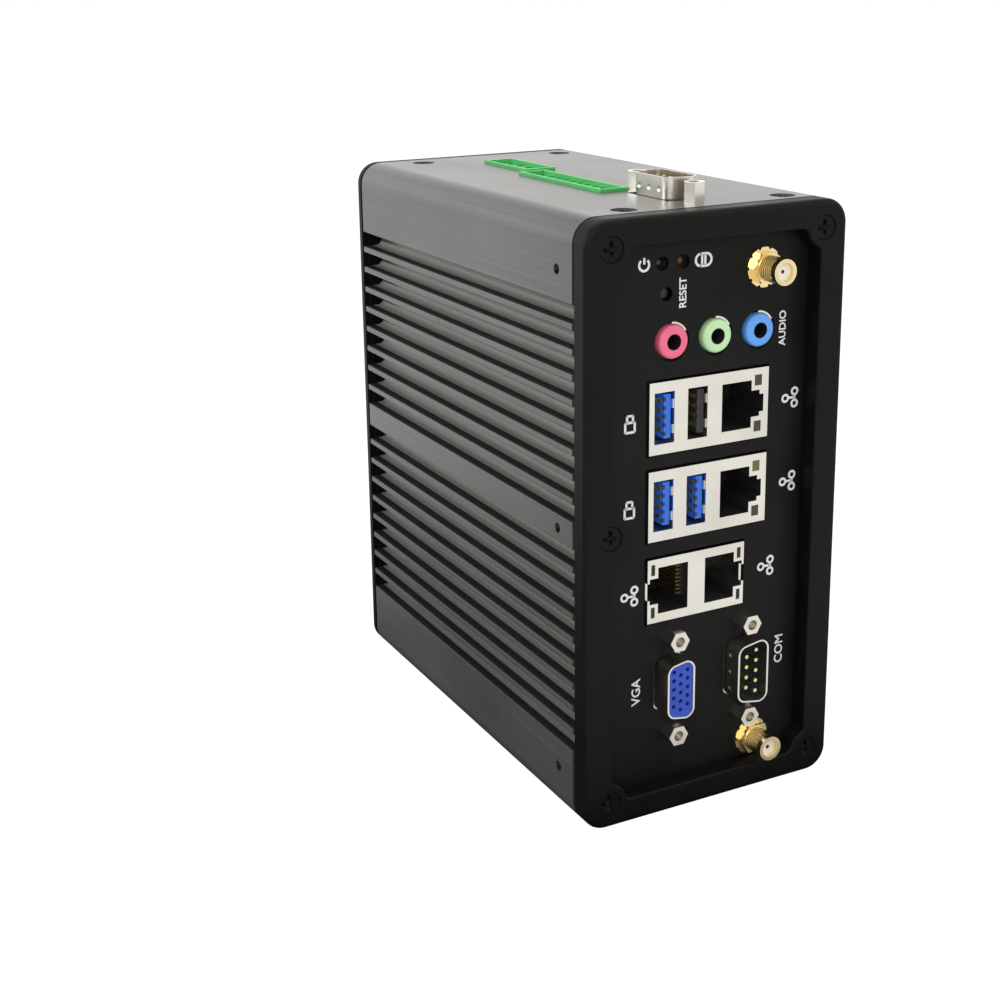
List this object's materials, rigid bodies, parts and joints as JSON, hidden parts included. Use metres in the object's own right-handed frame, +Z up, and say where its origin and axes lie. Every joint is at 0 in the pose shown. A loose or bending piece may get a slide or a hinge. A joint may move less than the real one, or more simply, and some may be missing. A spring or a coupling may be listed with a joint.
{
  "type": "fanless industrial computer",
  "caption": "Slim upright fanless computer case with a finned side, a framed front panel of sockets, connectors on top and a spring clip for a mounting rail behind",
  "frame": {"origin": "under the middle of the case, on the flat base it stands on", "axes": "+Z up; the socket panel faces -Y, the finned side faces -X and the rail clip faces +Y"},
  "size_m": [0.073, 0.1435, 0.1554],
  "materials": {
    "anodised_body": "black bead-blasted anodised",
    "painted_frame": "satin black powder coat",
    "painted_panel": "satin black powder coat, printed symbols",
    "black_screw": "black oxide",
    "bright_steel": "bright nickel plate",
    "gold_plate": "gold plate",
    "board_laminate": "solder mask",
    "chip_plastic": "moulded epoxy",
    "pad_rubber": "soft",
    "plain_aluminium": "milled",
    "black_plastic": "moulded",
    "blue_plastic": "moulded",
    "teal_plastic": "moulded",
    "green_plastic": "moulded",
    "white_plastic": "moulded fluoropolymer",
    "pink_plastic": "moulded",
    "lime_plastic": "moulded",
    "sky_plastic": "moulded",
    "lamp_clear": "clear resin",
    "lamp_amber": "tinted resin",
    "light_pipe": "clear resin",
    "zinc_steel": "zinc plate"
  },
  "bodies": {
    "case": {"chassis": "anodised_body", "side_cover": "anodised_body", "front_frame": "painted_frame", "front_panel": "painted_panel", "rear_cover": "painted_frame", "case_screws": "black_screw", "cover_screws": "black_screw", "main_board": "board_laminate", "board_posts": "plain_aluminium", "board_screws": "bright_steel", "processor": "chip_plastic", "thermal_pad": "pad_rubber", "heat_spreader": "plain_aluminium", "memory_socket": "black_plastic", "memory_module": "board_laminate", "drive_socket": "black_plastic", "drive_module": "board_laminate", "drive_post": "bright_steel", "cell_holder": "black_plastic", "clock_cell": "bright_steel", "upper_port_shell": "bright_steel", "middle_port_shell": "bright_steel", "lower_port_shell": "bright_steel", "lan_sockets": "black_plastic", "lan_lights": "light_pipe", "lan_contacts": "gold_plate", "usb_tongues_blue": "blue_plastic", "usb_tongue_black": "black_plastic", "vga_shell": "bright_steel", "vga_insert": "blue_plastic", "com_shell": "bright_steel", "com_insert": "teal_plastic", "com_pins": "gold_plate", "jack_screws": "bright_steel", "top_com_shell": "bright_steel", "top_com_insert": "black_plastic", "long_terminal_header": "green_plastic", "short_terminal_header": "green_plastic", "terminal_pins": "bright_steel", "top_board": "board_laminate", "top_board_posts": "plain_aluminium", "antenna_sockets": "gold_plate", "antenna_washers": "gold_plate", "antenna_nuts": "gold_plate", "antenna_insulators": "white_plastic", "antenna_contacts": "gold_plate", "power_lamp": "lamp_clear", "drive_lamp": "lamp_amber", "lamp_holder": "black_plastic", "reset_switch": "black_plastic", "audio_block": "black_plastic", "audio_shield": "bright_steel", "microphone_ring": "pink_plastic", "line_out_ring": "lime_plastic", "line_in_ring": "sky_plastic", "rail_bracket": "zinc_steel", "bracket_screws": "black_screw", "rail_spring": "zinc_steel"},
    "reset": {"reset_button": "black_plastic"},
    "latch": {"rail_latch": "zinc_steel"}
  },
  "joints": [
    {"name": "reset_press", "type": "slide", "parent": "case", "child": "reset", "axis": [0, 1, 0], "range_m": [0, 0.0005], "stiffness_N_per_m": 300},
    {"name": "latch_slide", "type": "slide", "parent": "case", "child": "latch", "axis": [0, 0, -1], "range_m": [0, 0.004], "stiffness_N_per_m": 800, "springref_m": -0.004, "deforming": ["rail_spring"]}
  ]
}
